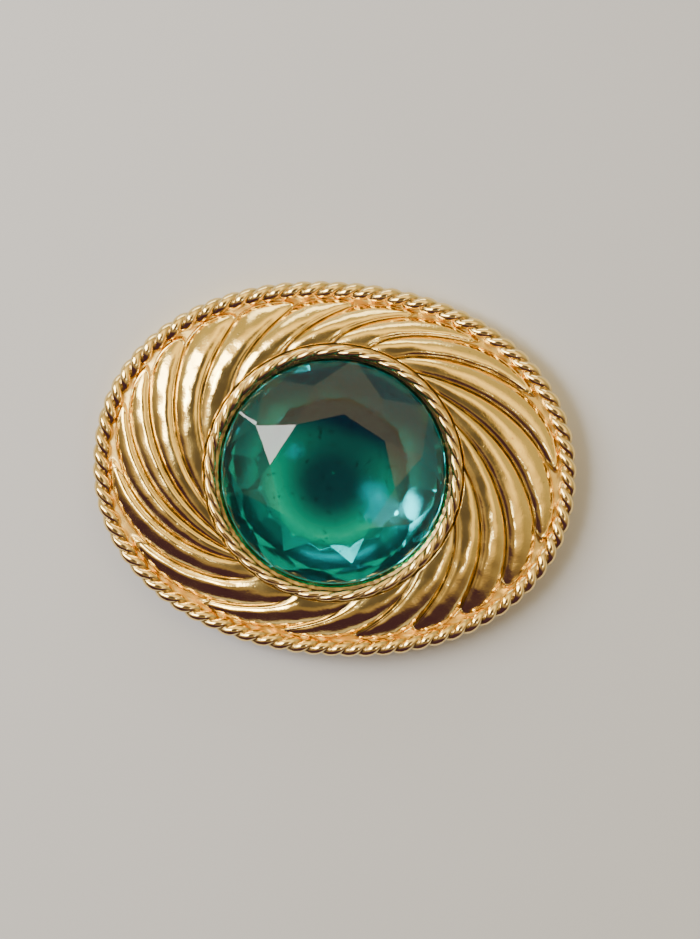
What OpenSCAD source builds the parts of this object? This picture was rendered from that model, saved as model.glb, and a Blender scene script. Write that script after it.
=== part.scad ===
// Oval swirl brooch with one round glass stone. Millimetres, +Z out of the front, z = 0 on the back rim.
// The pin lies in its catch at rest, with the catch rotor open.

/* [Body] */
// overall length along X, rope included
body_l = 52; // [50:1:66]
// overall width along Y, rope included
body_w = 40.5; // [39:0.1:50]
// roundness of the oval outline, 2 is a plain ellipse
outline_pow = 2.14; // [2:0.02:2.4]
// rise of the dome from the rim ledge to the collar
dome_h = 2.5; // [2.1:0.1:3.4]
// height of the rim ledge above the back
ledge_h = 2.9; // [2.4:0.1:3.5]
// wall thickness of the cast shell
shell_t = 1.0; // [0.8:0.05:1.2]
// width of the flat back rim
rim_w = 1.15; // [0.95:0.05:1.4]

/* [Swirl] */
// number of raised lobes
lobe_count = 19; // [15:1:23]
// height of a lobe over its two creases
lobe_h = 0.65; // [0.35:0.05:0.95]
// crest position across a lobe, 0.5 is the middle
crest_pos = 0.42; // [0.35:0.01:0.65]
// mean turn of a crease from the collar to the rim, degrees
sweep = 46.5; // [30:0.5:56]

/* [Ropes] */
// diameter of the rope round the rim
rim_rope_d = 1.9; // [1.6:0.05:2.3]
// full turns of the rim rope's two strands
rim_turns = 37; // [30:1:42]
// diameter of the rope round the stone
collar_rope_d = 1.25; // [1.05:0.05:1.55]
// full turns of the collar rope's two strands
collar_turns = 18; // [15:1:22]
// depth a rope is soldered into the metal under it
solder = 0.12; // [0.08:0.02:0.16]

/* [Stone] */
// girdle diameter of the stone
stone_d = 24.8; // [20.6:0.1:25.4]
// table width over the stone, corner to corner
table_ratio = 0.54; // [0.45:0.01:0.62]
// crown height
crown_h = 2.8; // [2.3:0.1:3.4]
// girdle band height
girdle_h = 0.3; // [0.25:0.05:0.4]
// radius of the stone's rounded back
bowl_r = 30; // [25:1:40]
// turn of the stone about its axis, degrees
stone_turn = -5.9; // [-22.5:0.1:22.5]
// thickness of the foil on the pavilion
foil_t = 0.08; // [0.06:0.01:0.1]

/* [Setting] */
// radial wall of the bezel round the girdle
bezel_t = 0.2; // [0.16:0.01:0.28]
// how far the bezel lip covers the girdle
lip_w = 0.16; // [0.12:0.01:0.24]
// gap between the cup and the shell
cup_gap = 0.1; // [0.08:0.01:0.15]

/* [Pin and catch] */
// distance from the hinge axis to the middle of the catch
pin_span = 29; // [26:0.5:30]
// pin line above the brooch's centre line
pin_y = 9; // [8.5:0.1:9.5]
// pin line above the back
pin_z = 1.6; // [1.56:0.01:1.66]
// stem diameter
pin_d = 0.9; // [0.75:0.01:1.0]
// rivet diameter
rivet_d = 0.8; // [0.66:0.01:0.9]
// radial running clearance of the rivet and of the rotor
run_gap = 0.05; // [0.04:0.005:0.06]
// end play at each side of a moving piece
side_gap = 0.12; // [0.1:0.01:0.16]

/* [Hidden] */
$fn = 48;
ax = body_l / 2;
ay = body_w / 2;
rope_r = rim_rope_d / 2;
crope_r = collar_rope_d / 2;
ledge_in = rim_rope_d - 0.05;            // outline to the inner edge of the rope's channel
edge_in = 0.35;                          // outline to the shell's outer wall
stone_r = stone_d / 2;
bezel_r = stone_r + 0.03 + bezel_t;      // outside of the bezel wall
collar_c = bezel_r + crope_r - solder;   // centre line of the collar rope
hole_r = collar_c + crope_r + cup_gap;   // hole in the shell round the collar
lip_r = hole_r - 1.0;                    // shell's inner lip under the cup flange
collar_z = ledge_h + dome_h;             // top of the dome at the hole
seat_z = collar_z - 0.35;                // underside of the cup flange
flange_z = seat_z + 0.4;
girdle_z = collar_z - 0.15;
back_z = bowl_z(0);                      // lowest point of the stone
table_z = girdle_z + girdle_h + crown_h;
channel_z = ledge_h - 0.75;              // floor under the rim rope
rim_rope_z = channel_z + rope_r - solder;
collar_rope_z = flange_z + crope_r - solder;
pad_z = pin_z + 1.6;                     // flat pads under the shell for hinge and catch
hinge_x = -pin_span / 2;
catch_x = pin_span / 2;
per_lobe = 8;                            // mesh columns across a lobe
cols = lobe_count * per_lobe;
rows_top = [0, 0.12, 0.27, 0.42, 0.56, 0.68, 0.78, 0.86, 0.91, 0.95, 0.98, 1];
rows_under = [0.9, 0.74, 0.58, 0.42, 0.22, 0.02];

gold = [0.80, 0.62, 0.30];
steel = [0.75, 0.72, 0.62];
green = [0.02, 0.35, 0.25];

// polar radius of the outline moved inwards by d
function oval_r(a, d) = pow(pow(abs(cos(a)) / (ax - d), outline_pow)
                          + pow(abs(sin(a)) / (ay - d), outline_pow), -1 / outline_pow);

// angle of mesh column u (0 to 360 over all lobes) at t (0 at the collar, 1 at the rim)
function column_a(u, t) = 30.1 + u + 4.2 * cos(u - 30) + 15.8 * cos(2 * u + 50) + 2.7 * cos(3 * u - 130)
    - (sweep + 3.4 + 41.5 * cos(2 * u + 56)) * t + (3.4 - 31.9 * cos(2 * u - 105)) * t * t;

// lobe section, 0 at its creases and 1 at its crest
function across(v) = let (x = v < crest_pos ? (crest_pos - v) / crest_pos : (v - crest_pos) / (1 - crest_pos))
    1 - pow(x, 2.7);
// the lobe ends in a round arch before the rim
function arch(v) = 1 - 0.13 * pow(abs(2 * v - 1), 3);
function lobe_z(v, t) = t >= arch(v) ? 0 :
    lobe_h * across(v) * (0.3 + 0.7 * sin(90 * min(1, t / 0.55))) * sqrt(1 - pow(t / arch(v), 12));
function dome_z(t) = ledge_h + dome_h * (1 - pow(t, 1.6));

// 1 on the flat of a pad, falling smoothly to 0 round it
function pad_share(p) = let (d = min(norm([p[0] - hinge_x, p[1] - pin_y]), norm([p[0] - catch_x, p[1] - pin_y])),
    s = max(0, min(1, (4.4 - d) / 2))) s * s * (3 - 2 * s);

function top_pt(i, t) = let (u = 360 * i / cols, a = column_a(u, t),
    r = hole_r + t * (oval_r(a, ledge_in) - hole_r), v = (i % per_lobe) / per_lobe)
    [r * cos(a), r * sin(a), dome_z(t) + lobe_z(v, t)];
function under_pt(i, t) = let (u = 360 * i / cols, a = column_a(u, t),
    r = lip_r + t * (oval_r(a, ledge_in) - lip_r), z = dome_z(t) - shell_t, p = [r * cos(a), r * sin(a)])
    [p[0], p[1], z + (min(z, pad_z) - z) * pad_share(p)];
function oval_pt(i, d, z) = let (a = column_a(360 * i / cols, 1), r = oval_r(a, d)) [r * cos(a), r * sin(a), z];
function ring_pt(i, r, z) = let (a = column_a(360 * i / cols, 0)) [r * cos(a), r * sin(a), z];

// closed skin through loops of n points each; the last loop joins the first
module skin(loops) {
    m = len(loops);
    n = len(loops[0]);
    polyhedron(
        points = [for (l = loops) for (p = l) p],
        faces = [for (j = [0 : m - 1]) for (i = [0 : n - 1]) for (k = [0, 1])
            let (a = j * n + i, b = j * n + (i + 1) % n, c = ((j + 1) % m) * n + (i + 1) % n, d = ((j + 1) % m) * n + i)
            k == 0 ? [a, b, c] : [a, c, d]],
        convexity = 12);
}

module body_shell() {
    color(gold) skin(concat(
        [for (t = rows_top) [for (i = [0 : cols - 1]) top_pt(i, t)]],
        [[for (i = [0 : cols - 1]) oval_pt(i, ledge_in - 0.06, channel_z)]],
        [[for (i = [0 : cols - 1]) oval_pt(i, edge_in + 0.1, channel_z)]],
        [[for (i = [0 : cols - 1]) oval_pt(i, edge_in, channel_z - 0.15)]],
        [[for (i = [0 : cols - 1]) oval_pt(i, edge_in, 0)]],
        [[for (i = [0 : cols - 1]) oval_pt(i, edge_in + rim_w, 0)]],
        [for (t = rows_under) [for (i = [0 : cols - 1]) under_pt(i, t)]],
        [[for (i = [0 : cols - 1]) ring_pt(i, lip_r, seat_z)]],
        [[for (i = [0 : cols - 1]) ring_pt(i, hole_r, seat_z)]]));
}

// section radius of two plump strands lying side by side, at angle f from the line through their centres
function strands_r(f, r) = r * (1 - 0.45 * pow(1 - abs(cos(f)), 1.3));

// two twisted strands along a closed flat path of [x, y] points at height z
module rope(path, z, r, turns, sides = 10) {
    n = len(path);
    skin([for (i = [0 : n - 1])
        let (p = path[i], q = path[(i + 1) % n], o = path[(i + n - 1) % n],
             g = [q[0] - o[0], q[1] - o[1]], w = [g[1], -g[0]] / norm(g), turn = 360 * turns * i / n)
        [for (k = [0 : sides - 1]) let (f = 360 * k / sides, s = strands_r(f, r))
            [p[0] + s * cos(f + turn) * w[0], p[1] + s * cos(f + turn) * w[1], z + s * sin(f + turn)]]]);
}

// points evenly spaced along the oval moved inwards by d
function oval_walk(d, n) = let (m = 360,
    q = [for (i = [0 : m]) let (a = 360 * i / m) oval_r(a, d) * [cos(a), sin(a)]],
    step = [for (i = [1 : m]) norm(q[i] - q[i - 1])],
    run = [for (i = 0, s = 0; i <= m; s = s + (i < m ? step[i] : 0), i = i + 1) [s, i]])
    [for (k = [0 : n - 1]) let (a = lookup(run[m][0] * k / n, run)) oval_r(a, d) * [cos(a), sin(a)]];

module rim_rope() {
    color(gold) rope(oval_walk(rope_r, rim_turns * 8), rim_rope_z, rope_r, rim_turns);
}

module collar_rope() {
    n = collar_turns * 8;
    color(gold) rope([for (i = [0 : n - 1]) collar_c * [cos(360 * i / n), sin(360 * i / n)]],
        collar_rope_z, crope_r, collar_turns);
}

// bowl under the stone, flange for the collar rope, bezel wall with its lip over the girdle
module setting_cup() {
    wall = 0.4;
    air = 0.35;                          // under the stone, room for its foil
    r1 = stone_r * 0.35;
    r2 = stone_r * 0.7;
    color(gold) rotate_extrude($fn = 96) polygon([
        [0, bowl_z(0, air + wall)], [r1, bowl_z(r1, air + wall)], [r2, bowl_z(r2, air + wall)],
        [lip_r - cup_gap - 0.1, seat_z - 0.75], [lip_r - cup_gap, seat_z], [hole_r - cup_gap, seat_z],
        [hole_r - cup_gap, flange_z], [bezel_r, flange_z], [bezel_r, girdle_z + girdle_h + 0.4],
        [bezel_r - 0.06, girdle_z + girdle_h + 0.4], [stone_r - lip_w, girdle_z + girdle_h + 0.24],
        [stone_r - lip_w, girdle_z + girdle_h + 0.12], [stone_r + 0.03, girdle_z + girdle_h - 0.02],
        [stone_r + 0.03, girdle_z - 0.02], [stone_r - 0.35, girdle_z - 0.28],
        [stone_r - 0.9, bowl_z(stone_r - 0.9, air)], [r2, bowl_z(r2, air)], [r1, bowl_z(r1, air)], [0, bowl_z(0, air)]]);
}

function wheel(n, r, z, a0 = 0) = [for (k = [0 : n - 1]) [r * cos(a0 + 360 * k / n), r * sin(a0 + 360 * k / n), z]];

// height of the stone's back at radius r, dropped by d
function bowl_z(r, d = 0) = girdle_z - d - sqrt(bowl_r * bowl_r - r * r) + sqrt(bowl_r * bowl_r - stone_r * stone_r);
function bowl(r, d = 0) = [for (q = [0.86, 0.7, 0.53, 0.35, 0.16]) for (p = wheel(16, r * q, bowl_z(r * q, d))) p];

// convex solid through a set of points
module gem(points) {
    hull() polyhedron(points = points, faces = [[for (i = [0 : len(points) - 1]) i]]);
}

module stone() {
    // star corners lie in the kite planes, so each kite stays flat
    star = 0.78;
    drop = crown_h * (star * cos(22.5) - table_ratio) / (1 - table_ratio);
    color(green, 0.6) rotate([0, 0, stone_turn])
        gem(concat(wheel(8, stone_r * table_ratio, table_z), wheel(8, stone_r * star, table_z - drop, 22.5),
            wheel(16, stone_r, girdle_z + girdle_h), wheel(16, stone_r, girdle_z), bowl(stone_r)));
}

// everything inside the bowl dropped by d
module bowl_body(d) {
    gem(concat(wheel(16, stone_r, girdle_z - d), bowl(stone_r, d)));
}

module stone_foil() {
    color([0.6, 0.8, 0.75]) rotate([0, 0, stone_turn]) intersection() {
        difference() {
            bowl_body(foil_t + 0.08);
            bowl_body(0.08);
        }
        translate([0, 0, back_z - 1]) cylinder(h = girdle_z - back_z + 0.7, r = stone_r - 0.6);
    }
}

ear_t = 0.55;                            // one hinge ear
eye_w = 1.1;                             // width of the stem's eye
eye_r = rivet_d / 2 + run_gap + 0.45;
gap_w = eye_w + 2 * side_gap;            // gap between the ears
ear_r = 0.95;

module joint_bracket() {
    y0 = gap_w / 2;
    color(steel) translate([hinge_x, pin_y, 0]) difference() {
        union() {
            translate([-1.5, -y0 - ear_t, pad_z - 0.4]) cube([3, gap_w + 2 * ear_t, 0.4 + solder]);
            for (s = [-y0 - ear_t, y0]) translate([0, s, 0]) {
                translate([0, ear_t, pin_z]) rotate([90, 0, 0]) cylinder(h = ear_t, r = ear_r);
                translate([-ear_r, 0, pin_z]) cube([2 * ear_r, ear_t, pad_z - pin_z - 0.1]);
            }
        }
        translate([0, 3, pin_z]) rotate([90, 0, 0]) cylinder(h = 6, r = rivet_d / 2);
    }
}

module joint_rivet() {
    len = gap_w + 2 * ear_t;
    color(steel) translate([hinge_x, pin_y, pin_z]) {
        translate([0, len / 2, 0]) rotate([90, 0, 0]) cylinder(h = len, r = rivet_d / 2);
        for (s = [-1, 1]) translate([0, s * (len / 2 + 0.1), 0]) rotate([90, 0, 0])
            cylinder(h = 0.2, r = rivet_d / 2 + 0.2, center = true);
    }
}

stem_r = pin_d / 2;
tip_x = catch_x + 3.2;
taper_l = 4.2;

module pin_stem() {
    color(steel) translate([hinge_x, pin_y, pin_z]) difference() {
        union() {
            translate([0, eye_w / 2, 0]) rotate([90, 0, 0]) cylinder(h = eye_w, r = eye_r);
            rotate([0, 90, 0]) cylinder(h = tip_x - taper_l - hinge_x, r = stem_r);
            translate([tip_x - taper_l - hinge_x, 0, 0]) rotate([0, 90, 0]) cylinder(h = taper_l, r1 = stem_r, r2 = 0.06);
        }
        translate([0, 2, 0]) rotate([90, 0, 0]) cylinder(h = 4, r = rivet_d / 2 + run_gap);
    }
}

slot_w = pin_d + 0.24;                   // way in for the stem
rotor_in = stem_r + 0.15;
rotor_r = rotor_in + 0.42;
house_l = 1.9;                           // housing length along X
house_r = rotor_r + run_gap + 0.32;
end_t = 0.5;                             // rotor's end flanges
lever_w = 0.8;
lever_l = (pin_z - 0.05) * sqrt(2) - lever_w / 2;   // at rest the lever just clears the plane of the back

module catch_body() {
    color(steel) translate([catch_x, pin_y, 0]) difference() {
        union() {
            translate([-1.5, -1.3, pad_z - 0.2]) cube([3, 2.6, 0.2 + solder]);
            translate([-house_l / 2, 0, pin_z]) rotate([0, 90, 0]) cylinder(h = house_l, r = house_r);
            translate([-house_l / 2, -0.8, pin_z + rotor_r + run_gap + 0.05])
                cube([house_l, 1.6, pad_z - pin_z - rotor_r - run_gap - 0.15]);
        }
        translate([-3, 0, pin_z]) rotate([0, 90, 0]) cylinder(h = 6, r = rotor_r + run_gap);
        translate([-3, -slot_w / 2 - 0.06, pin_z - 4]) cube([6, slot_w + 0.12, 4]);
    }
}

// slotted sleeve between two flanges; the outer flange carries the thumb lever
module catch_rotor() {
    half = house_l / 2 + side_gap;
    flange_r = house_r - 0.05;
    color(steel) translate([catch_x, pin_y, pin_z]) difference() {
        union() {
            translate([-half - end_t, 0, 0]) rotate([0, 90, 0]) cylinder(h = 2 * (half + end_t), r = rotor_r);
            translate([-half - end_t, 0, 0]) rotate([0, 90, 0]) cylinder(h = end_t, r = flange_r);
            translate([half, 0, 0]) rotate([0, 90, 0]) cylinder(h = end_t, r = flange_r);
            rotate([45, 0, 0]) translate([half, -lever_l, -lever_w / 2]) cube([end_t, lever_l - 0.5, lever_w]);
        }
        translate([-4, 0, 0]) rotate([0, 90, 0]) cylinder(h = 8, r = rotor_in);
        translate([-4, -slot_w / 2, -4]) cube([8, slot_w, 4]);
    }
}

body_shell();
rim_rope();
setting_cup();
collar_rope();
stone();
stone_foil();
joint_bracket();
joint_rivet();
pin_stem();
catch_body();
catch_rotor();
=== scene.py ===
"""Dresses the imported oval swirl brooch: shell, ropes, setting, stone and the pin behind it."""

import logging
import math
from dataclasses import dataclass
from enum import Enum

import bmesh
import bpy
import numpy as np
from mathutils import Matrix, Vector

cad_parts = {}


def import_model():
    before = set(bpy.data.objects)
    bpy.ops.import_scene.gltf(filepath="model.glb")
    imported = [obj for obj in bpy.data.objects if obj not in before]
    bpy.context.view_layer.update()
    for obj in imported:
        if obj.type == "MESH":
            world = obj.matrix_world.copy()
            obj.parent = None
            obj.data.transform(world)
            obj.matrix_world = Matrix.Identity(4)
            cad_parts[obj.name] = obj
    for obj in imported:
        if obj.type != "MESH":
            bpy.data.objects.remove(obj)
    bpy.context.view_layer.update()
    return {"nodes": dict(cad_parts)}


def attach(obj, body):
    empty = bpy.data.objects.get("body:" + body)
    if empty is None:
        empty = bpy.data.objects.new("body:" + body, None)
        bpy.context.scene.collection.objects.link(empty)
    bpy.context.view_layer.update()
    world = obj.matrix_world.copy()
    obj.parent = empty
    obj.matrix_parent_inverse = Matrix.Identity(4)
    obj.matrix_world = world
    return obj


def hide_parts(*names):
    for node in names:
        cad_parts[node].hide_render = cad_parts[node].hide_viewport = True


LOG = logging.getLogger("brooch")
MM = 0.001
BODY = "brooch_body"
WARM_LIGHT = (1.0, 0.98, 0.94)

Colour = tuple[float, float, float]
Span = tuple[float, float]
Socket = bpy.types.NodeSocket
Material = bpy.types.Material
Item = bpy.types.Object
Plane = tuple[Vector, Vector]


class Slot(Enum):
    """The record's material slots for the new pieces; nothing in this script uses them."""

    GOLD = "gold_metal"
    ROPE = "rope_metal"
    FOIL = "foil"
    GLASS = "stone_glass"


@dataclass(frozen=True)
class Noise:
    """A noise texture: features per metre, octaves and their roughness."""

    scale: float
    octaves: float = 2.0
    rough: float = 0.5


@dataclass(frozen=True)
class Relief:
    """A bump: metres that a height of one stands for, and the share of it that is used."""

    depth: float
    strength: float


def opaque(colour: Colour, share: float = 1.0) -> tuple[float, float, float, float]:
    """Makes a shader colour.

    Args:
        colour: Red, green and blue.
        share: What each of them is multiplied by.

    Returns:
        The colour with full alpha.
    """
    red, green, blue = (part * share for part in colour)
    return red, green, blue, 1.0


class Graph:
    """A material's or a world's node tree, with short calls to add and link nodes."""

    def __init__(self, tree: bpy.types.NodeTree) -> None:
        """Takes over a node tree and empties it.

        Args:
            tree: The node tree to build in.
        """
        self.tree = tree
        self.tree.nodes.clear()

    def add(self, kind: str, inputs: dict | None = None, **settings: object) -> bpy.types.Node:
        """Adds one node.

        Args:
            kind: The node's type name in Blender.
            inputs: Input socket name or number to a constant, or to another node's socket.
            settings: Node attributes to set before its inputs.

        Returns:
            The new node.
        """
        node = self.tree.nodes.new(kind)
        for name, value in settings.items():
            setattr(node, name, value)
        for name, value in (inputs or {}).items():
            socket = node.inputs[name]
            if isinstance(value, Socket):
                self.tree.links.new(value, socket)
            else:
                socket.default_value = value
        return node

    def mix(self, share: object, first: object, second: object) -> Socket:
        """Mixes two colours.

        Args:
            share: How much of the second colour, a number or a socket.
            first: The first colour, four numbers or a socket.
            second: The second colour, four numbers or a socket.

        Returns:
            The mixed colour's socket.
        """
        node = self.add("ShaderNodeMix", {0: share, 6: first, 7: second}, data_type="RGBA")
        return node.outputs[2]

    def scale(self, value: Socket, low_high: Span, over: Span = (0.0, 1.0)) -> Socket:
        """Maps a value from one range to another and keeps it inside.

        Args:
            value: The socket to map.
            low_high: What the two ends of the incoming range become.
            over: The incoming range.

        Returns:
            The mapped value's socket.
        """
        inputs = {0: value, 1: over[0], 2: over[1], 3: low_high[0], 4: low_high[1]}
        return self.add("ShaderNodeMapRange", inputs).outputs[0]

    def join(self, first: Socket, second: Socket, operation: str = "ADD") -> Socket:
        """Adds two values, or joins them by another operation.

        Args:
            first: The first value's socket.
            second: The second value's socket.
            operation: The operation's name in Blender.

        Returns:
            The result's socket.
        """
        return self.add("ShaderNodeMath", {0: first, 1: second}, operation=operation).outputs[0]

    def noise(self, where: Socket, noise: Noise) -> Socket:
        """Adds a noise texture.

        Args:
            where: The coordinate socket.
            noise: The texture's settings.

        Returns:
            The noise value's socket.
        """
        inputs = {"Vector": where, "Scale": noise.scale, "Detail": noise.octaves,
                  "Roughness": noise.rough}
        return self.add("ShaderNodeTexNoise", inputs).outputs[0]

    def bump(self, height: Socket, relief: Relief, times: float = 1.0,
             under: Socket | None = None) -> Socket:
        """Adds a bump.

        Args:
            height: The height socket.
            relief: How deep and how strong the bump is.
            times: What the depth is multiplied by.
            under: The normal socket of a bump below this one.

        Returns:
            The bumped normal's socket.
        """
        inputs = {"Height": height, "Distance": relief.depth * times, "Strength": relief.strength}
        if under is not None:
            inputs["Normal"] = under
        return self.add("ShaderNodeBump", inputs).outputs[0]

    def place(self) -> Socket:
        """Returns the object's own coordinates, in metres."""
        return self.add("ShaderNodeTexCoord").outputs["Object"]

    def stretch(self, where: Socket, scale: Colour, turn: float = 0.0) -> Socket:
        """Turns coordinates about Z and scales them.

        Args:
            where: The coordinate socket.
            scale: The factor along each axis.
            turn: The angle in radians.

        Returns:
            The new coordinate socket.
        """
        inputs = {"Vector": where, "Rotation": (0.0, 0.0, turn), "Scale": scale}
        return self.add("ShaderNodeMapping", inputs).outputs[0]

    def reach(self, where: Socket) -> Socket:
        """Returns the distance from the object's own Z axis, in metres."""
        flat = self.add("ShaderNodeVectorMath", {0: where, 1: (1.0, 1.0, 0.0)},
                        operation="MULTIPLY").outputs[0]
        return self.add("ShaderNodeVectorMath", {0: flat}, operation="LENGTH").outputs["Value"]

    def height(self, where: Socket) -> Socket:
        """Returns the Z part of a vector."""
        return self.add("ShaderNodeSeparateXYZ", {0: where}).outputs["Z"]

    def attribute(self, name: str) -> Socket:
        """Returns a number painted on the mesh by its name, zero where there is none."""
        return self.add("ShaderNodeAttribute", attribute_name=name).outputs["Fac"]

    def coat(self, tone: Socket, rough: Socket, normal: Socket, metal: float = 1.0) -> None:
        """Finishes a metal.

        Args:
            tone: The colour's socket.
            rough: The roughness's socket.
            normal: The normal's socket.
            metal: How metallic it is.
        """
        self.finish(self.add("ShaderNodeBsdfPrincipled", {
            "Base Color": tone, "Metallic": metal, "Roughness": rough, "Normal": normal}))

    def finish(self, surface: bpy.types.Node, volume: bpy.types.Node | None = None) -> None:
        """Links the shader to the material's output.

        Args:
            surface: The surface shader's node.
            volume: The volume shader's node, if any.
        """
        inputs = {"Surface": surface.outputs[0]}
        if volume is not None:
            inputs["Volume"] = volume.outputs[0]
        self.add("ShaderNodeOutputMaterial", inputs)


@dataclass(frozen=True)
class Finish:
    """A named finish, whose nodes each kind of finish adds."""

    name: str

    def build(self) -> Material:
        """Builds the material.

        Returns:
            The finished material.
        """
        material = bpy.data.materials.new(self.name)
        material.use_nodes = True
        graph = Graph(material.node_tree)
        self.shade(graph, graph.place())
        return material

    def shade(self, graph: Graph, where: Socket) -> None:
        """Adds the nodes of the finish.

        Args:
            graph: The material's graph.
            where: The object's own coordinates, in metres.
        """
        raise NotImplementedError


@dataclass(frozen=True)
class GoldFinish(Finish):
    """Polished gold-tone plating: worn crests, painted shade in the hollows, fine casting grain.
    """

    colour: Colour = (1.0, 0.72, 0.23)
    roughness: Span = (0.10, 0.22)
    grain: float = 16.0
    # deep: the dark colour of the casting pits, and of the painted shade where the mesh's hollow
    # number is high.
    deep: Colour = (0.05, 0.036, 0.03)
    clouds: Noise = Noise(260.0, 3.0)
    cloud_span: Span = (0.35, 0.65)
    cloud_shade: float = 0.94
    patches: Noise = Noise(420.0)
    polish_span: Span = (0.35, 0.7)
    grains: Noise = Noise(3600.0, 2.0, 0.6)
    grain_share: Span = (0.35, 1.0)
    grain_span: Span = (0.42, 0.62)
    grain_relief: Relief = Relief(1.8e-6, 0.6)
    swells: Noise = Noise(1300.0)
    swell_relief: Relief = Relief(2.2e-6, 0.45)
    pits: Noise = Noise(2600.0, 1.0)
    pit_span: Span = (0.16, 0.3)
    pit_relief: Relief = Relief(-12e-6, 0.6)
    pit_dirt: float = 0.35
    # uneven and the next three: how unevenly the painted shade in the hollows is laid, and the
    # roughness it adds.
    uneven: Noise = Noise(900.0, 3.0)
    painted_shade_share: Span = (0.45, 1.0)
    painted_shade_span: Span = (0.3, 0.6)
    painted_shade_rough: float = 0.25
    cast_rough: float = 0.3

    def shade(self, graph: Graph, where: Socket) -> None:
        """Adds the nodes; see Finish."""
        clouds = graph.scale(graph.noise(where, self.clouds), (0.0, 1.0), self.cloud_span)
        tone = graph.mix(clouds, opaque(self.colour, self.cloud_shade), opaque(self.colour))
        patches = graph.noise(where, self.patches)
        rough = graph.scale(patches, self.roughness, self.polish_span)
        # Painted shade: the deep colour laid into creases, grooves and gaps by the mesh's hollow
        # number, made uneven by noise.
        uneven = graph.scale(graph.noise(where, self.uneven), self.painted_shade_share, self.painted_shade_span)
        painted_shade = graph.join(graph.attribute("hollow"), uneven, "MULTIPLY")
        tone = graph.mix(painted_shade, tone, opaque(self.deep))
        rough = graph.join(rough, graph.scale(painted_shade, (0.0, self.painted_shade_rough)))
        cast = graph.attribute("cast")
        rough = graph.join(rough, graph.scale(cast, (0.0, self.cast_rough)))
        pits = graph.scale(graph.noise(where, self.pits), (1.0, 0.0), self.pit_span)
        tone = graph.mix(graph.scale(pits, (0.0, self.pit_dirt)), tone, opaque(self.deep))
        strength = graph.scale(patches, self.grain_share, self.grain_span)
        grains = graph.join(graph.noise(where, self.grains), strength, "MULTIPLY")
        normal = graph.bump(grains, self.grain_relief, self.grain)
        swells = graph.noise(where, self.swells)
        normal = graph.bump(swells, self.swell_relief, self.grain, normal)
        normal = graph.bump(pits, self.pit_relief, under=normal)
        graph.coat(tone, rough, normal)


@dataclass(frozen=True)
class FindingFinish(Finish):
    """Drawn and stamped metal of the pin and its catch, with fine lengthwise marks."""

    colour: Colour
    roughness: Span = (0.18, 0.34)
    stretch: Colour = (0.06, 1.0, 1.0)
    marks: Noise = Noise(9000.0, 3.0, 0.6)
    mark_span: Span = (0.3, 0.7)
    mark_relief: Relief = Relief(4e-6, 0.5)
    wear: Noise = Noise(700.0, 3.0)
    wear_span: Span = (0.4, 0.7)
    wear_shade: float = 0.72

    def shade(self, graph: Graph, where: Socket) -> None:
        """Adds the nodes; see Finish."""
        marks = graph.noise(graph.stretch(where, self.stretch), self.marks)
        wear = graph.scale(graph.noise(where, self.wear), (0.0, 1.0), self.wear_span)
        tone = graph.mix(wear, opaque(self.colour), opaque(self.colour, self.wear_shade))
        rough = graph.scale(marks, self.roughness, self.mark_span)
        graph.coat(tone, rough, graph.bump(marks, self.mark_relief))


@dataclass(frozen=True)
class GlassFinish(Finish):
    """Deep green glass that soaks up red, with a lacquered middle behind it."""

    colour: Colour = (0.0, 0.845, 0.855)
    tint: Colour = (0.01, 0.92, 0.96)
    density: float = 300.0
    ior: float = 1.54
    gloss: float = 0.16
    scratches: Noise = Noise(2600.0)
    scratch_stretch: Colour = (1.0, 0.05, 1.0)
    scratch_turn: float = 0.7
    scratch_span: Span = (0.66, 0.8)
    scratch_rough: float = 0.05
    lacquer: float = 0.13
    lacquer_edge: Span = (0.0066, 0.0078)
    back_height: Span = (5.2 * MM, 5.22 * MM)
    ripples: Noise = Noise(240.0, 1.0)
    ripple_relief: Relief = Relief(6e-6, 0.35)

    def shade(self, graph: Graph, where: Socket) -> None:
        """Adds the nodes; see Finish."""
        along = graph.stretch(where, self.scratch_stretch, self.scratch_turn)
        scratches = graph.scale(graph.noise(along, self.scratches),
                                (0.0, self.scratch_rough), self.scratch_span)
        back = graph.scale(graph.height(where), (1.0, 0.0), self.back_height)
        lacquer = graph.scale(graph.reach(where), (self.lacquer, 0.0), self.lacquer_edge)
        rough = graph.join(scratches, graph.join(lacquer, back, "MULTIPLY"))
        normal = graph.bump(graph.noise(where, self.ripples), self.ripple_relief)
        surface = graph.add("ShaderNodeBsdfPrincipled", {
            "Base Color": opaque(self.tint), "Roughness": rough, "IOR": self.ior,
            "Specular IOR Level": self.gloss, "Transmission Weight": 1.0, "Normal": normal})
        volume = graph.add("ShaderNodeVolumeAbsorption",
                           {"Color": opaque(self.colour), "Density": self.density})
        graph.finish(surface, volume)


@dataclass(frozen=True)
class FoilFinish(Finish):
    """Mirror foil, slightly crinkled and a little milky."""

    colour: Colour = (0.88, 0.95, 0.93)
    mirror: float = 0.93
    roughness: Span = (0.14, 0.08)
    rough_edge: Span = (0.0065, 0.0090)
    spots: Noise = Noise(1500.0)
    spot_span: Span = (0.62, 0.75)
    spot_shade: float = 0.55
    creases: Noise = Noise(700.0)
    crease_relief: Relief = Relief(6e-6, 0.4)

    def shade(self, graph: Graph, where: Socket) -> None:
        """Adds the nodes; see Finish."""
        spots = graph.scale(graph.noise(where, self.spots), (0.0, 1.0), self.spot_span)
        tone = graph.mix(spots, opaque(self.colour), opaque(self.colour, self.spot_shade))
        rough = graph.scale(graph.reach(where), self.roughness, self.rough_edge)
        normal = graph.bump(graph.noise(where, self.creases), self.crease_relief)
        graph.coat(tone, rough, normal, self.mirror)


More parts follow.
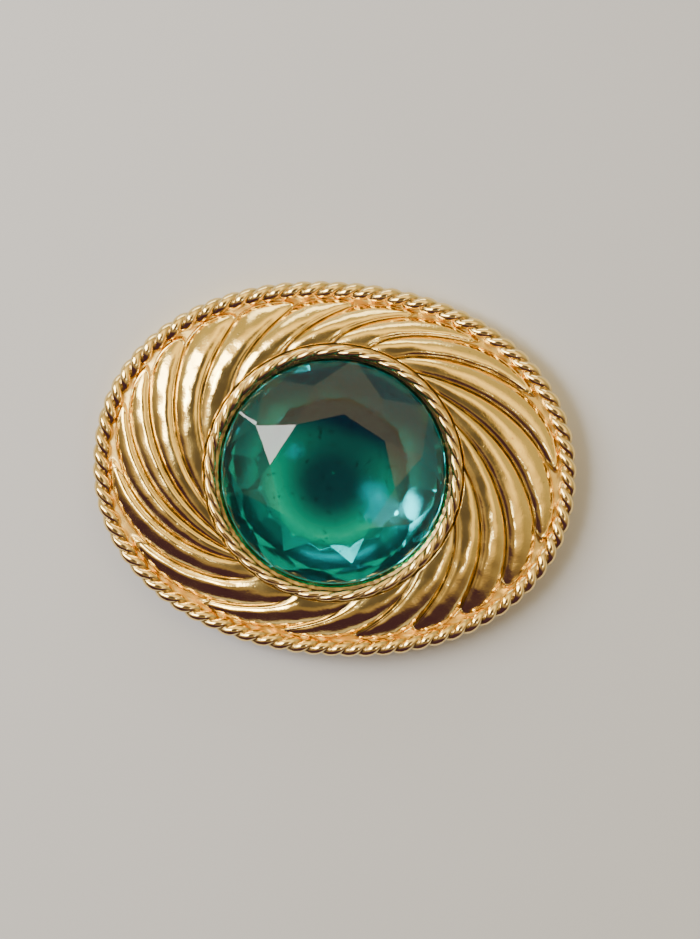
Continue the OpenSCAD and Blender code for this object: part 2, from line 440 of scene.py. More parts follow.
@dataclass(frozen=True)
class FloorFinish(Finish):
    """Pale matt board, seen only from above."""

    name: str = "pale_floor"
    colour: Colour = (0.56, 0.58, 0.63)
    roughness: float = 0.9
    clouds: Noise = Noise(40.0, 4.0)
    cloud_shade: float = 0.96

    def shade(self, graph: Graph, where: Socket) -> None:
        """Adds the nodes; see Finish."""
        tone = graph.mix(graph.noise(where, self.clouds), opaque(self.colour),
                         opaque(self.colour, self.cloud_shade))
        matt = graph.add("ShaderNodeBsdfPrincipled",
                         {"Base Color": tone, "Roughness": self.roughness})
        clear = graph.add("ShaderNodeBsdfTransparent")
        back = graph.add("ShaderNodeNewGeometry").outputs["Backfacing"]
        graph.finish(graph.add("ShaderNodeMixShader",
                               {0: back, 1: matt.outputs[0], 2: clear.outputs[0]}))


def polar_ring(radius: object, angle: np.ndarray, height: object) -> np.ndarray:
    """Places a ring of points about the Z axis.

    Args:
        radius: Distance from the axis, one number or one per point.
        angle: Angles in radians.
        height: Height, one number or one per point.

    Returns:
        Points with shape (points, 3).
    """
    return np.stack([radius * np.cos(angle), radius * np.sin(angle), height + 0.0 * angle], -1)


def full_turn(count: int) -> np.ndarray:
    """Returns the angles, in radians, that divide a full circle into equal steps."""
    return 2.0 * math.pi * np.arange(count) / count


def skin(name: str, rings: np.ndarray, closed: bool = True) -> Item:
    """Joins rings of points into one smooth skin.

    Args:
        name: The object's name.
        rings: Points, ring by ring, in millimetres, with shape (rings, points, 3).
        closed: Whether the last ring joins the first.

    Returns:
        The new object, in metres.
    """
    count, size = rings.shape[:2]
    mesh = bpy.data.meshes.new(name)
    points = rings.reshape(-1, 3) * MM
    row = np.arange(count if closed else count - 1)[:, None]
    column = np.arange(size)[None, :]
    after = (column + 1) % size
    below = (row + 1) % count
    quads = np.stack([row * size + column, row * size + after,
                      below * size + after, below * size + column], -1)
    mesh.from_pydata(points.tolist(), [], quads.reshape(-1, 4).tolist())
    return add_mesh(name, mesh)


def add_mesh(name: str, mesh: bpy.types.Mesh, smooth: bool = True) -> Item:
    """Puts a mesh into the scene with its faces turned outwards.

    Args:
        name: The object's name.
        mesh: The mesh.
        smooth: Whether its faces are shaded smooth.

    Returns:
        The new object.
    """
    work = bmesh.new()
    work.from_mesh(mesh)
    bmesh.ops.recalc_face_normals(work, faces=work.faces)
    work.to_mesh(mesh)
    work.free()
    for face in mesh.polygons:
        face.use_smooth = smooth
    item = bpy.data.objects.new(name, mesh)
    bpy.context.scene.collection.objects.link(item)
    return item


def paint(item: Item, name: str, values: np.ndarray) -> None:
    """Stores one number per vertex for the finish to read.

    Args:
        item: The object.
        name: The attribute's name.
        values: The numbers, in vertex order.
    """
    layer = item.data.attributes.new(name, "FLOAT", "POINT")
    layer.data.foreach_set("value", values.astype(np.float32).ravel())


def soften(item: Item, name: str, width: float, angle: float) -> None:
    """Rounds the sharp edges of a piece.

    Args:
        item: The piece.
        name: The modifier's name.
        width: Width of the rounding in millimetres.
        angle: Edges sharper than this many degrees are rounded.
    """
    soft = item.modifiers.new(name, "BEVEL")
    soft.width = width * MM
    soft.segments = 2
    soft.limit_method = "ANGLE"
    soft.angle_limit = math.radians(angle)


def place_piece(item: Item, material: Material, node: str) -> None:
    """Gives a new piece its finish, its body and the node that it stands for.

    Args:
        item: The piece.
        material: Its material.
        node: The CAD node that it replaces.
    """
    item.data.materials.clear()
    item.data.materials.append(material)
    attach(item, BODY)
    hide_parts(node)
    LOG.info("%s rides on %s, %d faces", item.name, BODY, len(item.data.polygons))


@dataclass(frozen=True)
class Outline:
    """The oval outline of the brooch, in millimetres."""

    half_length: float = 26.0
    half_width: float = 20.25
    power: float = 2.14
    samples: int = 4001

    def radius(self, angle: np.ndarray, inset: float) -> np.ndarray:
        """Gives the polar radius of the outline moved inwards.

        Args:
            angle: Angles in radians.
            inset: Distance inwards.

        Returns:
            The radii.
        """
        across = np.abs(np.cos(angle)) / (self.half_length - inset)
        up = np.abs(np.sin(angle)) / (self.half_width - inset)
        return (across ** self.power + up ** self.power) ** (-1.0 / self.power)

    def walk(self, inset: float, count: int) -> np.ndarray:
        """Gives evenly spaced points along the outline moved inwards.

        Args:
            inset: Distance inwards.
            count: Number of points.

        Returns:
            Points with shape (count, 2).
        """
        turn = np.linspace(0.0, 2.0 * math.pi, self.samples)
        radius = self.radius(turn, inset)
        path = np.stack([radius * np.cos(turn), radius * np.sin(turn)], -1)
        lengths = np.linalg.norm(np.diff(path, axis=0), axis=1)
        run = np.concatenate([[0.0], np.cumsum(lengths)])
        stops = np.linspace(0.0, run[-1], count, endpoint=False)
        return np.stack([np.interp(stops, run, path[:, k]) for k in (0, 1)], -1)


@dataclass(frozen=True)
class Wave:
    """A cosine of the place among the lobes: times round, size and shift, in degrees."""

    times: int
    size: float
    shift: float

    def at(self, turn: np.ndarray) -> np.ndarray:
        """Returns the wave's heights at places among the lobes, 0 to 360."""
        return self.size * np.cos(np.radians(self.times * turn + self.shift))


@dataclass(frozen=True)
class Ridge:
    """A rounded line that stands up: its height, place and width."""

    height: float
    place: float
    width: float

    def at(self, where: np.ndarray) -> np.ndarray:
        """Returns the ridge's heights at places across it."""
        return self.height * np.exp(-((where - self.place) / self.width) ** 2)


@dataclass(frozen=True)
class Lobes:
    """Relief of the raised lobes, in millimetres or as shares of a lobe."""

    count: int = 19
    height: float = 0.65
    spread: float = 0.08
    crest: float = 0.42
    roundness: float = 2.7
    arch: float = 0.13
    collar_share: float = 0.3
    rise_end: float = 0.55
    end_power: int = 12
    width: Span = (1.3, 3.2)
    crease_edge: Ridge = Ridge(0.11, 0.14, 0.08)
    arch_edge: Ridge = Ridge(0.09, 0.978, 0.010)
    # Painted shade: how dark the creases, the far flank of each lobe and the ledge by the rope
    # are painted.
    crease_shade: Ridge = Ridge(0.95, 0.0, 0.075)
    flank_shade: Ridge = Ridge(0.15, 0.0, 0.30)
    ledge_shade: float = 0.05
    ledge_steps: tuple[float, ...] = (0.3, 0.65, 1.0)


@dataclass
class SwirlShell:
    """The cast dome with its swirl of raised lobes, its ledge and its rim wall."""

    outline: Outline
    lobes: Lobes = Lobes()
    start: float = 30.1
    start_waves: tuple[Wave, ...] = (Wave(1, 4.2, -30.0), Wave(2, 15.8, 50.0),
                                     Wave(3, 2.7, -130.0))
    sweep: float = 46.5
    sweep_wave: Wave = Wave(2, 41.5, 56.0)
    bend: float = 3.4
    bend_wave: Wave = Wave(2, -31.9, -105.0)
    dome_height: float = 2.5
    dome_power: float = 1.6
    ledge_height: float = 2.9
    ledge_inset: float = 1.85
    thickness: float = 1.0
    rim_inset: float = 0.35
    rim_width: float = 1.15
    hole: float = 13.86
    lip: float = 12.86
    seat: float = 5.05
    channel: float = 2.15
    pad_height: float = 3.2
    pad_reach: float = 4.4
    pad_slope: float = 2.0
    pads: tuple[Span, ...] = ((-14.5, 9.0), (14.5, 9.0))
    wobble: float = 0.012
    wobble_waves: tuple[Colour, ...] = ((1.3, 0.7, 0.0), (-1.1, 2.3, 1.7), (1.9, 2.6, 0.0))
    wobble_fade: float = 6.0
    # Painted shade laid over the whole hollow back, under the brooch.
    back_shade: float = 0.15
    across_steps: int = 40
    along_steps: int = 80
    back_steps: int = 40
    seed: int = 7

    def column_angle(self, turn: np.ndarray, along: np.ndarray) -> np.ndarray:
        """Gives the angle of a column of the swirl.

        Args:
            turn: Place among the lobes, 0 to 360.
            along: 0 at the collar and 1 at the rim.

        Returns:
            Angles in radians.
        """
        start = self.start + turn
        for wave in self.start_waves:
            start = start + wave.at(turn)
        straight = self.sweep + self.bend + self.sweep_wave.at(turn)
        bend = self.bend + self.bend_wave.at(turn)
        return np.radians(start - straight * along + bend * along ** 2)

    def dome(self, along: np.ndarray) -> np.ndarray:
        """Returns the dome's heights under the lobes, from 0 at the collar to 1 at the rim."""
        fall = np.clip(along, 0.0, 1.0) ** self.dome_power
        return self.ledge_height + self.dome_height * (1.0 - fall)

    def build_top(self, turn: np.ndarray,
                  share: np.ndarray) -> tuple[np.ndarray, np.ndarray, np.ndarray]:
        """Builds the lobed front.

        Args:
            turn: Place of each column among the lobes, 0 to 360.
            share: Place of each column across its lobe, 0 to 1.

        Returns:
            The rings of points, the painted shade of each in the creases, on the far flanks and
            on the ledge, and how unpolished it is.
        """
        lobes = self.lobes
        rng = np.random.default_rng(self.seed)
        number = np.floor(turn / 360.0 * lobes.count + 1e-9).astype(int) % lobes.count
        lift = (1.0 + rng.uniform(-lobes.spread, lobes.spread, lobes.count))[number]
        side = np.where(share < lobes.crest, (lobes.crest - share) / lobes.crest,
                        (share - lobes.crest) / (1.0 - lobes.crest))
        section = 1.0 - side ** lobes.roundness
        arch = 1.0 - lobes.arch * np.abs(2.0 * share - 1.0) ** 3
        rings, hollows, casts = [], [], []
        for step in np.sin(np.linspace(0.0, math.pi / 2.0, self.along_steps)):
            along = step * arch
            climb = np.sin(np.pi / 2.0 * np.minimum(1.0, along / lobes.rise_end))
            rise = lobes.collar_share + (1.0 - lobes.collar_share) * climb
            end = 1.0 - step ** lobes.end_power
            width = lobes.width[0] + lobes.width[1] * along
            near, far = share * width, (1.0 - share) * width
            height = lobes.height * lift * section * rise * np.sqrt(end)
            height = height + rise * end * lobes.crease_edge.at(near)
            height = height + lobes.arch_edge.at(step)
            rings.append(self.front_ring(turn, along, height))
            # Painted shade: dark in the creases and along each lobe's far flank.
            hollow = lobes.crease_shade.at(np.minimum(near, far)) + lobes.flank_shade.at(far)
            hollows.append(np.clip(hollow, 0.0, 1.0) * (1.0 - 0.5 * step ** 8))
            casts.append(np.full_like(share, 0.5 * step ** 60))
        for step in lobes.ledge_steps:
            along = arch + (1.0 - arch) * step
            rings.append(self.front_ring(turn, along, np.zeros_like(along)))
            hollows.append(np.full_like(share, lobes.ledge_shade))
            casts.append(np.ones_like(share))
        return np.array(rings), np.array(hollows), np.array(casts)

    def front_ring(self, turn: np.ndarray, along: np.ndarray, height: np.ndarray) -> np.ndarray:
        """Places one ring of the front.

        Args:
            turn: Place of each column among the lobes.
            along: 0 at the collar and 1 at the rim.
            height: Height over the dome.

        Returns:
            The ring's points.
        """
        angle = self.column_angle(turn, along)
        reach = self.outline.radius(angle, self.ledge_inset)
        radius = self.hole + along * (reach - self.hole)
        x, y = radius * np.cos(angle), radius * np.sin(angle)
        ripple = sum(np.sin(a * x + b * y + shift) for a, b, shift in self.wobble_waves)
        fade = (np.clip(along * self.wobble_fade, 0.0, 1.0)
                * np.clip((1.0 - along) * self.wobble_fade, 0.0, 1.0))
        return np.stack([x, y, self.dome(along) + height + self.wobble * ripple * fade], -1)

    def rim_section(self) -> list[Span]:
        """Lists the rim's section, from the ledge over the rope's channel to the inner foot.

        Returns:
            Inset and height of each point.
        """
        inset, foot = self.ledge_inset, self.rim_inset
        ledge, channel = self.ledge_height, self.channel
        return [(inset - 0.1, ledge + 0.01), (inset - 0.35, ledge - 0.04),
                (inset - 0.5, ledge - 0.2), (foot + 0.75, channel + 0.35),
                (foot + 0.4, channel + 0.2), (foot + 0.2, channel + 0.02),
                (foot + 0.1, channel), (foot + 0.02, channel - 0.04),
                (foot, channel - 0.12), (foot, 0.12), (foot + 0.03, 0.03), (foot + 0.1, 0.0),
                (foot + self.rim_width, 0.0), (foot + self.rim_width + 0.05, 0.06)]

    def build_back(self, turn: np.ndarray) -> np.ndarray:
        """Builds the rim wall, the hollow back with its two pads and the inner lip.

        Args:
            turn: Place of each column among the lobes.

        Returns:
            The rings of points.
        """
        angle = self.column_angle(turn, np.ones_like(turn))
        rings = [polar_ring(self.outline.radius(angle, inset), angle, height)
                 for inset, height in self.rim_section()]
        for along in np.linspace(0.90, 0.02, self.back_steps):
            angle = self.column_angle(turn, np.full_like(turn, along))
            reach = self.outline.radius(angle, self.ledge_inset)
            radius = self.lip + along * (reach - self.lip)
            x, y = radius * np.cos(angle), radius * np.sin(angle)
            height = self.dome(np.full_like(turn, along)) - self.thickness
            nearest = np.min([np.hypot(x - px, y - py) for px, py in self.pads], axis=0)
            share = np.clip((self.pad_reach - nearest) / self.pad_slope, 0.0, 1.0)
            share = share * share * (3.0 - 2.0 * share)
            height = height + (np.minimum(height, self.pad_height) - height) * share
            rings.append(np.stack([x, y, height], -1))
        angle = self.column_angle(turn, np.zeros_like(turn))
        collar = ((self.lip, self.seat - 0.05), (self.lip + 0.05, self.seat),
                  (self.hole, self.seat), (self.hole, self.seat + 0.25),
                  (self.hole, self.seat + 0.32))
        rings.extend(polar_ring(radius, angle, height) for radius, height in collar)
        return np.array(rings)

    def build(self, finish: Material) -> None:
        """Builds the shell.

        Args:
            finish: Its material.
        """
        steps, count = self.across_steps, self.lobes.count
        share = (1.0 - np.cos(np.pi * np.arange(steps) / steps)) / 2.0
        share = np.tile(share, count)
        number = np.repeat(np.arange(count), steps)
        turn = 360.0 * (number + share) / count
        top, hollow, cast = self.build_top(turn, share)
        back = self.build_back(turn)
        item = skin("swirl_shell", np.concatenate([top, back]))
        behind = np.ones(back.shape[:2])
        # The hollow number is painted shade: creases, far flanks, ledge and the whole back.
        paint(item, "hollow", np.concatenate([hollow, self.back_shade * behind]))
        paint(item, "cast", np.concatenate([cast, behind]))
        place_piece(item, finish, "body_shell")


@dataclass
class TwistedRope:
    """Two plump strands twisted together along a closed flat path."""

    name: str
    node: str
    path: np.ndarray
    height: float
    radius: float
    turns: int
    sides: int = 56
    groove: float = 0.45
    plumpness: float = 1.3
    unevenness: Span = (0.97, 1.0)
    uneven_steps: int = 4
    seed: int = 5

    def build(self, finish: Material) -> None:
        """Builds the rope.

        Args:
            finish: Its material.
        """
        count = len(self.path)
        ahead = np.roll(self.path, -1, axis=0) - np.roll(self.path, 1, axis=0)
        ahead /= np.linalg.norm(ahead, axis=1)[:, None]
        out = np.stack([ahead[:, 1], -ahead[:, 0]], -1)
        rng = np.random.default_rng(self.seed)
        knots = self.uneven_steps * self.turns + 1
        uneven = np.interp(np.arange(count) / count, np.linspace(0.0, 1.0, knots),
                           rng.uniform(*self.unevenness, knots))
        angle = full_turn(self.sides)
        hollow = (1.0 - np.abs(np.cos(angle))) ** self.plumpness
        reach = self.radius * (1.0 - self.groove * hollow)[None, :] * uneven[:, None]
        turned = angle[None, :] + self.turns * full_turn(count)[:, None]
        side = (reach * np.cos(turned))[:, :, None] * out[:, None, :]
        lift = self.height + (reach * np.sin(turned))[:, :, None]
        rings = np.concatenate([self.path[:, None, :] + side, lift], axis=2)
        item = skin(self.name, rings)
        # Painted shade in the grooves between the two strands.
        painted_shade = np.clip(hollow * 1.25 - 0.55, 0.0, 1.0)
        paint(item, "hollow", np.tile(painted_shade, count))
        place_piece(item, finish, self.node)


@dataclass(frozen=True)
class StoneCut:
    """Sizes that the stone, its foil and its setting share, in millimetres."""

    radius: float = 12.4
    girdle: float = 5.25
    band: float = 0.3
    bowl: float = 30.0

    def back(self, reach: np.ndarray, drop: float = 0.0) -> np.ndarray:
        """Gives the height of the rounded back.

        Args:
            reach: Distances from the axis.
            drop: How far below the stone's own back.

        Returns:
            The heights.
        """
        return (self.girdle - drop - np.sqrt(self.bowl ** 2 - reach ** 2)
                + math.sqrt(self.bowl ** 2 - self.radius ** 2))


@dataclass
class SettingCup:
    """The cup under the stone: bowl, flange, bezel wall and its finely notched lip."""

    cut: StoneCut
    seat: float = 5.05
    flange_radius: float = 13.76
    flange_height: float = 0.4
    wall: float = 0.23
    bowl_reaches: tuple[float, ...] = (0.02, 0.05, 0.3, 2.0, 4.0, 6.0, 8.0, 10.0)
    bowl_outside: float = 0.75
    bowl_inside: float = 0.35
    notches: int = 88
    notch_depth: Span = (0.02, 0.07)
    notch_groups: int = 41
    # Painted shade: the value away from and on the bezel wall and lip, in the gap under the
    # collar rope.
    painted_shade: Span = (0.1, 0.9)
    segments: int = 1056
    seed: int = 3

    def profile(self) -> list[tuple[float, float, float]]:
        """Lists the section.

        Returns:
            Radius, height and share of the notches of each point, from foot to foot.
        """
        stone, girdle = self.cut.radius, self.cut.girdle
        top, wall = girdle + self.cut.band, stone + self.wall
        edge, seat = self.flange_radius, self.seat
        flange = seat + self.flange_height
        bowl = [(reach, float(self.cut.back(reach))) for reach in self.bowl_reaches]
        outside = [(reach, height - self.bowl_outside, 0.0) for reach, height in bowl]
        inside = [(reach, height - self.bowl_inside, 0.0) for reach, height in bowl[::-1]]
        foot = [(edge - 1.26, seat - 0.9, 0.0), (edge - 1.14, seat - 0.7, 0.0),
                (edge - 1.01, seat - 0.05, 0.0), (edge - 0.99, seat, 0.0)]
        rim = [(edge - 0.06, seat, 0.0), (edge, seat + 0.05, 0.0),
               (edge, flange - 0.05, 0.0), (edge - 0.06, flange, 0.0)]
        bezel = [(wall, flange, 0.0), (wall, top + 0.36, 0.0), (wall - 0.01, top + 0.39, 0.0),
                 (wall - 0.03, top + 0.4, 0.0), (wall - 0.06, top + 0.39, 0.1),
                 (wall - 0.12, top + 0.36, 0.3)]
        lip = [(stone - 0.02, top + 0.3, 0.7), (stone - 0.12, top + 0.24, 1.0),
               (stone - 0.15, top + 0.2, 1.0), (stone - 0.16, top + 0.14, 1.0)]
        bed = [(stone + 0.02, top, 0.0), (stone + 0.03, girdle - 0.02, 0.0),
               (stone - 0.35, girdle - 0.28, 0.0)]
        return outside + foot + rim + bezel + lip + bed + inside

    def build(self, finish: Material) -> None:
        """Builds the cup.

        Args:
            finish: Its material.
        """
        angle = full_turn(self.segments)
        rng = np.random.default_rng(self.seed)
        groups = self.notch_groups
        depth = np.interp(angle, np.linspace(0.0, 2.0 * math.pi, groups),
                          rng.uniform(*self.notch_depth, groups))
        wave = depth * (np.abs(np.sin(angle * self.notches / 2.0)) - 0.6)
        rings = [polar_ring(radius - share * wave, angle, height + share * 0.5 * wave)
                 for radius, height, share in self.profile()]
        item = skin("setting_cup_and_bezel", np.array(rings))
        # Painted shade on the bezel wall and lip: the dark gap between the stone and the collar
        # rope.
        unshaded, in_shade = self.painted_shade
        low, near = self.seat + 0.1, self.cut.radius - 0.1
        painted_shade = np.array([in_shade if height > low and radius > near else unshaded
                         for radius, height, _ in self.profile()])
        paint(item, "hollow", np.repeat(painted_shade, self.segments))
        place_piece(item, finish, "setting_cup")


@dataclass
class BrilliantStone:
    """The stone, with a faceted crown and a rounded back, and the foil on that back."""

    cut: StoneCut
    crown: float = 2.8
    table_share: float = 0.54
    star_share: float = 0.78
    smooth_share: float = 0.58
    smooth_margin: float = 1.03
    turn: float = -5.9
    folds: int = 8
    segments: int = 192
    back_steps: int = 40
    blank_spare: float = 1.0
    edge_width: float = 0.16
    edge_angle: float = 5.0
    foil_steps: int = 60
    foil_margin: float = 0.6
    foil_layers: Span = (0.02, 0.09)

    def point(self, share: float, steps: float, height: float) -> Vector:
        """Gives a point of the cut.

        Args:
            share: Distance from the axis over the radius.
            steps: Turn in eighths of a circle.
            height: Height in millimetres.

        Returns:
            The point in millimetres.
        """
        angle = math.radians(self.turn + 360.0 / self.folds * steps)
        reach = self.cut.radius * share
        return Vector((reach * math.cos(angle), reach * math.sin(angle), height))

    def crown_planes(self) -> list[Plane]:
        """Lists the facet planes of the crown.

        Returns:
            Pairs of a point on the facet and its outward normal.
        """
        half = math.cos(math.pi / self.folds)
        edge = self.cut.girdle + self.cut.band
        table = edge + self.crown
        drop = (self.star_share * half - self.table_share) / (1.0 - self.table_share)
        star = table - self.crown * drop
        facets = [(Vector((0, 0, table)), Vector((1, 0, table)), Vector((0, 1, table)))]
        for k in range(self.folds):
            corner = self.point(self.table_share, k, table)
            next_corner = self.point(self.table_share, k + 1, table)
            last_apex = self.point(self.star_share, k - 0.5, star)
            apex = self.point(self.star_share, k + 0.5, star)
            tip = self.point(1.0, k, edge)
            middle = self.point(1.0, k + 0.5, edge)
            next_tip = self.point(1.0, k + 1, edge)
            facets += [(corner, apex, last_apex), (corner, next_corner, apex),
                       (apex, tip, middle), (apex, middle, next_tip)]
        planes = []
        for first, second, third in facets:
            normal = (second - first).cross(third - first).normalized()
            if normal.z < 0.0:
                normal.negate()
            planes.append((first, normal))
        return planes

    def back_planes(self) -> list[Plane]:
        """Lists the facet planes of the outer part of the back.

        Returns:
            Pairs of a point on the facet and its outward normal.
        """
        inner, outer = self.cut.radius * self.smooth_share, self.cut.radius
        low, high = float(self.cut.back(inner)), float(self.cut.back(outer))
        slope = math.atan2(high - low, outer - inner)
        planes = []
        for k in range(2 * self.folds):
            angle = math.radians(self.turn + 180.0 / self.folds * (k + 0.5))
            way = Vector((math.cos(angle), math.sin(angle), 0.0))
            normal = way * math.sin(slope) - Vector((0.0, 0.0, math.cos(slope)))
            planes.append((way * outer + Vector((0.0, 0.0, high)), normal))
        return planes

    def turned(self, profile: list[Span]) -> np.ndarray:
        """Returns the rings of a section, pairs of radius and height, turned about the axis."""
        angle = full_turn(self.segments) + math.radians(self.turn)
        return np.array([polar_ring(radius, angle, height) for radius, height in profile])

    def blank(self) -> bmesh.types.BMesh:
        """Builds the uncut stone: a closed turned body with its rounded back.

        Returns:
            The body, in millimetres.
        """
        cut = self.cut
        reaches = np.linspace(0.0, cut.radius, self.back_steps)[1:]
        profile = list(zip(reaches, cut.back(reaches)))
        profile.append((cut.radius, cut.girdle + cut.band + self.crown + self.blank_spare))
        work = bmesh.new()
        loops = [[work.verts.new(point) for point in ring] for ring in self.turned(profile)]
        for low, high in zip(loops, loops[1:]):
            for k in range(self.segments):
                after = (k + 1) % self.segments
                work.faces.new((low[k], low[after], high[after], high[k]))
        work.faces.new(loops[0])
        work.faces.new(loops[-1])
        return work

    def build_stone(self, finish: Material) -> None:
        """Builds the stone: a turned blank, cut plane by plane.

        Args:
            finish: Its material.
        """
        work = self.blank()
        for point, normal in self.crown_planes() + self.back_planes():
            shape = work.verts[:] + work.edges[:] + work.faces[:]
            bmesh.ops.bisect_plane(work, geom=shape, dist=1e-5, plane_co=point,
                                   plane_no=normal, clear_outer=True)
            rim = [edge for edge in work.edges if edge.is_boundary]
            if rim:
                bmesh.ops.edgeloop_fill(work, edges=rim)
        bmesh.ops.scale(work, vec=(MM, MM, MM), verts=work.verts)
        mesh = bpy.data.meshes.new("faceted_stone")
        work.to_mesh(mesh)
        work.free()
        item = add_mesh("faceted_stone", mesh, smooth=False)
        limit = self.cut.radius * self.smooth_share * self.smooth_margin * MM
        for face in mesh.polygons:
            face.use_smooth = face.normal.z < 0.0 and face.center.xy.length < limit
        soften(item, "polished_edges", self.edge_width, self.edge_angle)
        place_piece(item, finish, "stone")

    def build_foil(self, finish: Material) -> None:
        """Builds the foil, a thin closed skin just under the back.

        Args:
            finish: Its material.
        """
        upper, lower = self.foil_layers
        reaches = np.linspace(upper, self.cut.radius - self.foil_margin, self.foil_steps)
        inner = list(zip(reaches, self.cut.back(reaches, upper)))
        outer = list(zip(reaches, self.cut.back(reaches, lower)))
        rings = self.turned(inner + outer[::-1])
        for point, normal in self.back_planes():
            across = ((rings[:, :, 0] - point.x) * normal.x
                      + (rings[:, :, 1] - point.y) * normal.y)
            flat = point.z - across / normal.z
            flat[:self.foil_steps] -= upper
            flat[self.foil_steps:] -= lower
            rings[:, :, 2] = np.maximum(rings[:, :, 2], flat)
        item = skin("stone_foil_skin", rings)
        place_piece(item, finish, "stone_foil")


@dataclass
class Findings:
    """The pin, its hinge and its catch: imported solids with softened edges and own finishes."""

    nodes: dict[str, Item]
    soft_edge: float = 0.05
    running_edge: float = 0.02
    edge_angle: float = 35.0

    def dress(self, name: str, material: Material, width: float) -> None:
        """Softens a node's edges and gives it its finish.

        Args:
            name: The CAD node.
            material: Its material.
            width: Width of its softened edges in millimetres.
        """
        item = self.nodes[name]
        for place in item.material_slots:
            place.material = material
        soften(item, "soft_edges", width, self.edge_angle)
        LOG.info("%s keeps its solid", name)

    def build(self) -> None:
        """Dresses every node of the pin and its catch."""
        plated = FindingFinish("plated_finding", (0.82, 0.60, 0.29)).build()
        stem = FindingFinish("drawn_stem", (0.80, 0.70, 0.50), roughness=(0.12, 0.24),
                             stretch=(0.02, 1.0, 1.0)).build()
        for name in ("joint_bracket", "joint_rivet"):
            self.dress(name, plated, self.soft_edge)
        for name in ("catch_body", "catch_rotor"):
            self.dress(name, plated, self.running_edge)
        self.dress("pin_stem", stem, self.soft_edge)


@dataclass(frozen=True)
class Softbox:
    """One square lamp, placed by its direction from the brooch, in degrees and metres."""

    name: str
    azimuth: float
    tilt: float
    distance: float
    size: Span
    power: float
    colour: Colour = WARM_LIGHT

    def build(self) -> None:
        """Builds the lamp, aimed at the brooch."""
        data = bpy.data.lights.new(self.name, "AREA")
        data.shape = "RECTANGLE"
        data.size, data.size_y = self.size
        data.energy = self.power
        data.color = self.colour
        lamp = bpy.data.objects.new(self.name, data)
        turn, tilt = math.radians(self.azimuth), math.radians(self.tilt)
        flat = math.sin(tilt)
        way = Vector((math.cos(turn) * flat, math.sin(turn) * flat, math.cos(tilt)))
        lamp.location = way * self.distance
        lamp.rotation_mode = "QUATERNION"
        lamp.rotation_quaternion = way.to_track_quat("Z", "Y")
        bpy.context.scene.collection.objects.link(lamp)


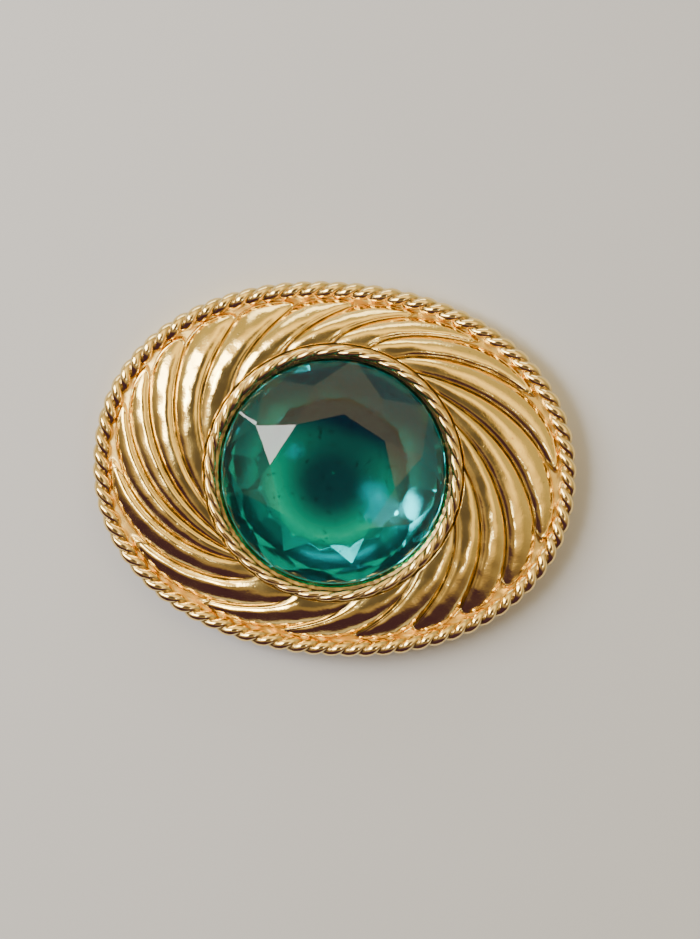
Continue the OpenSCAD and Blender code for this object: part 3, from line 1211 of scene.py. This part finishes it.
@dataclass
class Studio:
    """Camera, lamps, surroundings and floor."""

    outline: Outline
    roll: float = 4.6
    lean: float = 7.0
    side: float = 1.5
    distance: float = 0.28
    lens: float = 100.0
    clip: Span = (0.01, 10.0)
    aim: Colour = (0.0017, 0.0001, 0.003)
    bright: Colour = (2.90, 2.16, 0.94)
    low: Colour = (0.72, 0.60, 0.34)
    dark: Colour = (0.065, 0.03, 0.08)
    overhead: Colour = (0.13, 0.11, 0.11)
    backdrop: Colour = (0.60, 0.58, 0.55)
    bright_way: Colour = (0.25, 0.97, 0.0)
    bright_span: Span = (-0.62, 0.28)
    low_span: Span = (0.56, 0.84)
    overhead_span: Span = (0.79, 0.97)
    floor_inset: float = 0.42
    floor_reach: float = 700.0
    floor_sides: int = 256
    lamps: tuple[Softbox, ...] = (
        Softbox("key_softbox", 157.0, 45.0, 0.40, (0.12, 0.27), 1.60),
        Softbox("side_softbox", 174.0, 27.0, 0.40, (0.07, 0.10), 0.34),
        Softbox("grazing_softbox", 98.0, 76.0, 0.45, (0.40, 0.12), 0.65),
        Softbox("low_softbox", 322.0, 30.0, 0.45, (0.05, 0.04), 0.10, (1.0, 0.97, 0.93)))

    def build_camera(self) -> None:
        """Builds the camera, nearly straight above, with the long axis slightly turned."""
        turn, lean = math.radians(self.roll), math.radians(self.lean)
        flat = Vector((math.cos(turn), math.sin(turn), 0.0))
        top = Vector((-math.sin(turn), math.cos(turn), 0.0))
        back = (top * math.sin(lean) + flat * math.sin(math.radians(self.side))
                + Vector((0.0, 0.0, math.cos(lean)))).normalized()
        right = (flat - back * flat.dot(back)).normalized()
        up = back.cross(right)
        data = bpy.data.cameras.new("camera")
        data.lens = self.lens
        data.clip_start, data.clip_end = self.clip
        camera = bpy.data.objects.new("camera", data)
        target = right * self.aim[0] + up * self.aim[1] + Vector((0.0, 0.0, self.aim[2]))
        turned = Matrix((right, up, back)).transposed().to_4x4()
        camera.matrix_world = Matrix.Translation(target + back * self.distance) @ turned
        bpy.context.scene.collection.objects.link(camera)
        bpy.context.scene.camera = camera

    def build_surroundings(self) -> None:
        """Builds soft surroundings: warm and bright on one side, dark on the other."""
        world = bpy.data.worlds.new("surroundings")
        bpy.context.scene.world = world
        world.use_nodes = True
        graph = Graph(world.node_tree)
        way = graph.add("ShaderNodeTexCoord").outputs["Generated"]
        side = graph.add("ShaderNodeVectorMath", {0: way, 1: self.bright_way},
                         operation="DOT_PRODUCT").outputs["Value"]
        height = graph.height(way)
        raised = graph.scale(height, (0.0, 1.0), self.low_span)
        lit = graph.mix(raised, opaque(self.low), opaque(self.bright))
        turned = graph.scale(side, (0.0, 1.0), self.bright_span)
        tone = graph.mix(turned, opaque(self.dark), lit)
        above = graph.scale(height, (0.0, 1.0), self.overhead_span)
        tone = graph.mix(above, tone, opaque(self.overhead))
        seen = graph.add("ShaderNodeLightPath").outputs["Is Camera Ray"]
        tone = graph.mix(seen, tone, opaque(self.backdrop))
        backdrop = graph.add("ShaderNodeBackground", {"Color": tone, "Strength": 1.0})
        graph.add("ShaderNodeOutputWorld", {"Surface": backdrop.outputs[0]})

    def build_floor(self) -> None:
        """Builds the floor in the plane of the back rim, open under the brooch for light."""
        hole = self.outline.walk(self.floor_inset, self.floor_sides)
        edge = hole / np.linalg.norm(hole, axis=1)[:, None] * self.floor_reach
        level = np.zeros(self.floor_sides)
        rings = np.array([np.column_stack([ring, level]) for ring in (edge, hole)])
        floor = skin("floor", rings, closed=False)
        if floor.data.polygons[0].normal.z < 0.0:
            floor.data.flip_normals()
        floor.data.materials.append(FloorFinish().build())

    def build(self) -> None:
        """Builds lamps, surroundings and floor."""
        for lamp in self.lamps:
            lamp.build()
        self.build_surroundings()
        self.build_floor()


def plan_ropes(outline: Outline) -> tuple[TwistedRope, TwistedRope]:
    """Plans the two ropes, in millimetres.

    Args:
        outline: The brooch's outline.

    Returns:
        The rope round the rim and the finer one round the stone.
    """
    steps, rim_turns, collar_turns = 44, 37, 18
    rim_inset, rim_height, rim_radius = 0.95, 2.98, 0.95
    collar_reach, collar_height, collar_radius = 13.135, 5.955, 0.625
    oval = outline.walk(rim_inset, rim_turns * steps)
    angle = full_turn(collar_turns * steps)
    circle = collar_reach * np.stack([np.cos(angle), np.sin(angle)], -1)
    return (TwistedRope("rim_rope_twist", "rim_rope", oval, rim_height, rim_radius, rim_turns),
            TwistedRope("collar_rope_twist", "collar_rope", circle, collar_height,
                        collar_radius, collar_turns))


def main() -> None:
    """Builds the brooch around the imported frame."""
    logging.basicConfig(level=logging.INFO, format="%(message)s")
    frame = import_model()
    outline, cut = Outline(), StoneCut()
    studio = Studio(outline)
    studio.build_camera()
    SwirlShell(outline).build(GoldFinish("cast_gold").build())
    rope_gold = GoldFinish("rope_gold", (1.0, 0.74, 0.29), roughness=(0.08, 0.18), grain=4.0)
    rope_metal = rope_gold.build()
    for rope in plan_ropes(outline):
        rope.build(rope_metal)
    bezel_gold = GoldFinish("bezel_gold", (0.94, 0.66, 0.24), roughness=(0.1, 0.2), grain=5.0)
    SettingCup(cut).build(bezel_gold.build())
    stone = BrilliantStone(cut)
    stone.build_stone(GlassFinish("green_glass").build())
    stone.build_foil(FoilFinish("mirror_foil").build())
    Findings(frame["nodes"]).build()
    studio.build()
    bpy.context.view_layer.update()


if __name__ == "__main__":
    main()
